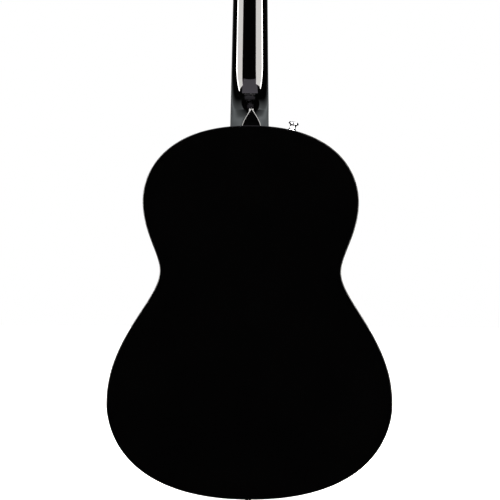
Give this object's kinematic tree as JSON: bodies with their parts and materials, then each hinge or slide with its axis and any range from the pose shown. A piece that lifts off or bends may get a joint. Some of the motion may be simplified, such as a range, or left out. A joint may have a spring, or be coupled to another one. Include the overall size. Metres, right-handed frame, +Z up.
{
  "type": "acoustic guitar",
  "caption": "Steel-string acoustic guitar with a waisted gloss-black sound box, arched back, braced soundboard, fretted neck, glued bridge and geared tuners on a tilted headstock.",
  "frame": {"origin": "the point on the tail end of the sound box where the tail strap button seats, on the centreline and half-way through the body's depth", "axes": "+Z runs up the neck from the tail, -Y is the front with the soundboard and strings, +X is the treble side of a right-handed player's guitar"},
  "size_m": [0.382, 0.1248, 1.0459],
  "materials": {
    "black_lacquered_spruce": "high-gloss black lacquer over spruce",
    "black_lacquered_mahogany": "high-gloss black lacquer over mahogany",
    "lining_wood": "unfinished, kerfed",
    "block_wood": "unfinished mahogany",
    "brace_spruce": "unfinished, sanded",
    "maple": "unfinished, sanded",
    "black_binding": "gloss black celluloid",
    "rosette": "black and ivory rings under gloss lacquer",
    "pickguard_plastic": "gloss black",
    "dark_hardwood": "oiled, open grain",
    "bone": "polished bone",
    "ivory_plastic": "polished",
    "chrome": "mirror polished",
    "black_felt": "pressed felt",
    "fret_wire": "polished nickel silver",
    "pearl_plastic": "polished pearl",
    "steel": "drawn steel",
    "brass": "machined",
    "bronze_wire": "phosphor bronze winding"
  },
  "bodies": {
    "root": {"soundboard": "black_lacquered_spruce", "back_plate": "black_lacquered_mahogany", "side_bass": "black_lacquered_mahogany", "side_treble": "black_lacquered_mahogany", "top_linings": "lining_wood", "back_linings": "lining_wood", "neck_block": "block_wood", "tail_block": "block_wood", "strap_button_block": "block_wood", "x_braces": "brace_spruce", "tone_bars": "brace_spruce", "finger_braces": "brace_spruce", "upper_transverse_brace": "brace_spruce", "bridge_plate": "maple", "back_braces": "brace_spruce", "back_centre_strip": "brace_spruce", "top_binding": "black_binding", "back_binding": "black_binding", "rosette": "rosette", "pickguard": "pickguard_plastic", "bridge": "dark_hardwood", "saddle": "bone", "bridge_pins": "ivory_plastic", "strap_buttons": "chrome", "strap_button_felts": "black_felt", "strap_button_screws": "chrome", "neck": "black_lacquered_mahogany", "heel_cap": "black_binding", "headstock_veneer": "black_lacquered_mahogany", "fretboard": "dark_hardwood", "frets": "fret_wire", "position_dots": "pearl_plastic", "nut": "bone", "truss_rod": "steel", "wound_strings": "bronze_wire", "plain_strings": "steel", "tuner_housings": "chrome", "tuner_covers": "chrome", "tuner_bushings": "chrome", "tuner_washers": "chrome", "tuner_screws": "chrome"},
    "tuner_key_1": {"tuner_button_1": "chrome", "tuner_worm_1": "steel"},
    "string_post_1": {"tuner_post_1": "chrome"},
    "tuner_key_2": {"tuner_button_2": "chrome", "tuner_worm_2": "steel"},
    "string_post_2": {"tuner_post_2": "chrome"},
    "tuner_key_3": {"tuner_button_3": "chrome", "tuner_worm_3": "steel"},
    "string_post_3": {"tuner_post_3": "chrome"},
    "tuner_key_4": {"tuner_button_4": "chrome", "tuner_worm_4": "steel"},
    "string_post_4": {"tuner_post_4": "chrome"},
    "tuner_key_5": {"tuner_button_5": "chrome", "tuner_worm_5": "steel"},
    "string_post_5": {"tuner_post_5": "chrome"},
    "tuner_key_6": {"tuner_button_6": "chrome", "tuner_worm_6": "steel"},
    "string_post_6": {"tuner_post_6": "chrome"},
    "truss_adjuster": {"truss_rod_nut": "brass"}
  },
  "joints": [
    {"name": "tuner_key_1_turn", "type": "hinge", "parent": "root", "child": "tuner_key_1", "pos_m": [0.01978, -0.02861, 0.89188], "axis": [1, 0, 0], "continuous": true},
    {"name": "string_post_1_turn", "type": "hinge", "parent": "root", "child": "string_post_1", "pos_m": [0.01978, -0.04535, 0.90327], "axis": [0, -0.9703, 0.2419], "continuous": true},
    {"name": "tuner_key_2_turn", "type": "hinge", "parent": "root", "child": "tuner_key_2", "pos_m": [0.02151, -0.01894, 0.93069], "axis": [1, 0, 0], "continuous": true},
    {"name": "string_post_2_turn", "type": "hinge", "parent": "root", "child": "string_post_2", "pos_m": [0.02151, -0.03568, 0.94208], "axis": [0, -0.9703, 0.2419], "continuous": true},
    {"name": "tuner_key_3_turn", "type": "hinge", "parent": "root", "child": "tuner_key_3", "pos_m": [0.02325, -0.00926, 0.9695], "axis": [1, 0, 0], "continuous": true},
    {"name": "string_post_3_turn", "type": "hinge", "parent": "root", "child": "string_post_3", "pos_m": [0.02325, -0.026, 0.98089], "axis": [0, -0.9703, 0.2419], "continuous": true},
    {"name": "tuner_key_4_turn", "type": "hinge", "parent": "root", "child": "tuner_key_4", "pos_m": [-0.02325, -0.00926, 0.9695], "axis": [-1, 0, 0], "continuous": true},
    {"name": "string_post_4_turn", "type": "hinge", "parent": "root", "child": "string_post_4", "pos_m": [-0.02325, -0.026, 0.98089], "axis": [0, -0.9703, 0.2419], "continuous": true},
    {"name": "tuner_key_5_turn", "type": "hinge", "parent": "root", "child": "tuner_key_5", "pos_m": [-0.02151, -0.01894, 0.93069], "axis": [-1, 0, 0], "continuous": true},
    {"name": "string_post_5_turn", "type": "hinge", "parent": "root", "child": "string_post_5", "pos_m": [-0.02151, -0.03568, 0.94208], "axis": [0, -0.9703, 0.2419], "continuous": true},
    {"name": "tuner_key_6_turn", "type": "hinge", "parent": "root", "child": "tuner_key_6", "pos_m": [-0.01978, -0.02861, 0.89188], "axis": [-1, 0, 0], "continuous": true},
    {"name": "string_post_6_turn", "type": "hinge", "parent": "root", "child": "string_post_6", "pos_m": [-0.01978, -0.04535, 0.90327], "axis": [0, -0.9703, 0.2419], "continuous": true},
    {"name": "truss_adjuster_turn", "type": "hinge", "parent": "root", "child": "truss_adjuster", "pos_m": [0, -0.048, 0.451], "axis": [0, 0, -1], "range_deg": [-360, 360]}
  ],
  "couplings": [
    {"joint": "string_post_1_turn", "follows": "tuner_key_1_turn", "ratio": -0.071429},
    {"joint": "string_post_2_turn", "follows": "tuner_key_2_turn", "ratio": -0.071429},
    {"joint": "string_post_3_turn", "follows": "tuner_key_3_turn", "ratio": -0.071429},
    {"joint": "string_post_4_turn", "follows": "tuner_key_4_turn", "ratio": -0.071429},
    {"joint": "string_post_5_turn", "follows": "tuner_key_5_turn", "ratio": -0.071429},
    {"joint": "string_post_6_turn", "follows": "tuner_key_6_turn", "ratio": -0.071429}
  ]
}
